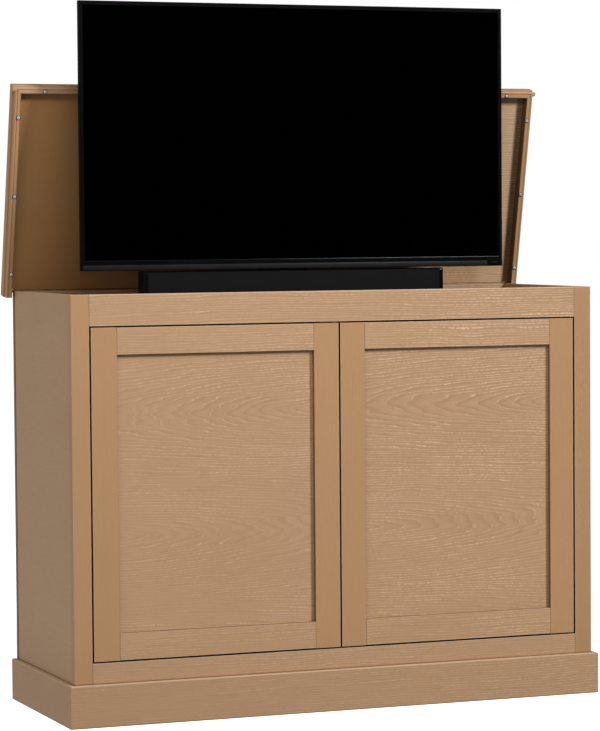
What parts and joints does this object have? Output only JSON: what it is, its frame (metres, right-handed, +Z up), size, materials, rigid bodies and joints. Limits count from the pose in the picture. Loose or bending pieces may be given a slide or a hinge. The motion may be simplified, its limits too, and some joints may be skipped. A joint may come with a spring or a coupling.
{
  "type": "television lift cabinet",
  "caption": "Oak-finished console cabinet with inset framed doors, a plinth and a flip-up lid; a lift raises a flat television and soundbar through the top.",
  "frame": {"origin": "middle of the footprint at floor level: centre of the overall width and depth with the lid open, bottom of the plinth", "axes": "+Z up, +X to the right seen from the front, +Y from the doors to the back"},
  "size_m": [1.395, 0.5266, 1.716],
  "materials": {
    "oak": "limed oak laminate, satin, fine embossed grain",
    "back_board": "dark hardboard, matt",
    "hinge_brass": "dull brass",
    "hinge_nickel": "nickel plated",
    "lid_screws": "zinc plated round heads",
    "latch_plastic": "moulded, fine texture",
    "lift_steel": "black powder coat",
    "spindle_steel": "rolled thread, oiled",
    "roller_rubber": "matt",
    "tv_bezel_plastic": "semi-gloss black",
    "tv_rear_plastic": "textured black",
    "tv_screen": "black panel, anti-glare",
    "soundbar_cloth": "tight black grille cloth",
    "soundbar_gloss": "glossy black end caps"
  },
  "bodies": {
    "cabinet": {"left_side_panel": "oak", "right_side_panel": "oak", "bottom_panel": "oak", "back_panel": "back_board", "divider_panel": "oak", "centre_partition": "oak", "left_shelf": "oak", "right_shelf": "oak", "rear_top_rail": "oak", "face_left_stile": "oak", "face_right_stile": "oak", "face_top_rail": "oak", "face_bottom_rail": "oak", "plinth_front": "oak", "plinth_left": "oak", "plinth_right": "oak", "lift_outer_column": "lift_steel", "lift_motor": "lift_steel", "lift_control_box": "latch_plastic", "lid_hinge_fixed_leaf": "hinge_brass", "left_hinge_arm_lower": "hinge_nickel", "left_hinge_arm_upper": "hinge_nickel", "right_hinge_arm_lower": "hinge_nickel", "right_hinge_arm_upper": "hinge_nickel", "left_latch_body": "latch_plastic", "right_latch_body": "latch_plastic"},
    "left_door": {"left_door_outer_stile": "oak", "left_door_inner_stile": "oak", "left_door_top_rail": "oak", "left_door_bottom_rail": "oak", "left_door_panel": "oak", "left_hinge_cup_lower": "hinge_nickel", "left_hinge_cup_upper": "hinge_nickel"},
    "right_door": {"right_door_outer_stile": "oak", "right_door_inner_stile": "oak", "right_door_top_rail": "oak", "right_door_bottom_rail": "oak", "right_door_panel": "oak", "right_hinge_cup_lower": "hinge_nickel", "right_hinge_cup_upper": "hinge_nickel"},
    "lid": {"lid_panel": "oak", "lid_moulding_front": "oak", "lid_moulding_left": "oak", "lid_moulding_right": "oak", "lid_hinge_moving_leaf": "hinge_brass"},
    "tv_carriage": {"lift_inner_tube": "lift_steel", "tv_mount_bracket": "lift_steel", "soundbar_bracket": "lift_steel", "tv_bezel": "tv_bezel_plastic", "tv_screen": "tv_screen", "tv_rear_cover": "tv_rear_plastic", "soundbar_body": "soundbar_cloth", "pusher_arm_left": "lift_steel", "pusher_arm_right": "lift_steel"},
    "lift_middle": {"lift_middle_tube": "lift_steel"},
    "spindle": {"lift_spindle": "spindle_steel"},
    "roller_left": {"lid_roller_left": "roller_rubber"},
    "roller_right": {"lid_roller_right": "roller_rubber"},
    "left_plunger": {"left_latch_plunger": "latch_plastic"},
    "right_plunger": {"right_latch_plunger": "latch_plastic"}
  },
  "joints": [
    {"name": "left_door_hinge", "type": "hinge", "parent": "cabinet", "child": "left_door", "pos_m": [-0.626, -0.25155, 0.545], "axis": [0, 0, -1], "range_deg": [0, 105]},
    {"name": "right_door_hinge", "type": "hinge", "parent": "cabinet", "child": "right_door", "pos_m": [0.626, -0.25155, 0.545], "axis": [0, 0, 1], "range_deg": [0, 105]},
    {"name": "lid_hinge", "type": "hinge", "parent": "cabinet", "child": "lid", "pos_m": [0, 0.24295, 1.013], "axis": [-1, 0, 0], "range_deg": [0, 17]},
    {"name": "tv_lift", "type": "slide", "parent": "cabinet", "child": "tv_carriage", "axis": [0, 0, 1], "range_m": [-0.725, 0]},
    {"name": "lift_middle_slide", "type": "slide", "parent": "cabinet", "child": "lift_middle", "axis": [0, 0, 1], "range_m": [-0.3626, 0.0001]},
    {"name": "spindle_spin", "type": "hinge", "parent": "cabinet", "child": "spindle", "pos_m": [0, 0.12845, 0.4], "axis": [0, 0, 1], "range_deg": [-6530, 5]},
    {"name": "left_roller_spin", "type": "hinge", "parent": "tv_carriage", "child": "roller_left", "pos_m": [-0.15, 0.1394, 1.44], "axis": [1, 0, 0], "continuous": true},
    {"name": "right_roller_spin", "type": "hinge", "parent": "tv_carriage", "child": "roller_right", "pos_m": [0.15, 0.1394, 1.44], "axis": [1, 0, 0], "continuous": true},
    {"name": "left_latch_press", "type": "slide", "parent": "cabinet", "child": "left_plunger", "axis": [0, 1, 0], "range_m": [0, 0.004], "stiffness_N_per_m": 300},
    {"name": "right_latch_press", "type": "slide", "parent": "cabinet", "child": "right_plunger", "axis": [0, 1, 0], "range_m": [0, 0.004], "stiffness_N_per_m": 300}
  ],
  "couplings": [
    {"joint": "lift_middle_slide", "follows": "tv_lift", "ratio": 0.5},
    {"joint": "spindle_spin", "follows": "tv_lift", "rad_per_m": 157.08}
  ]
}
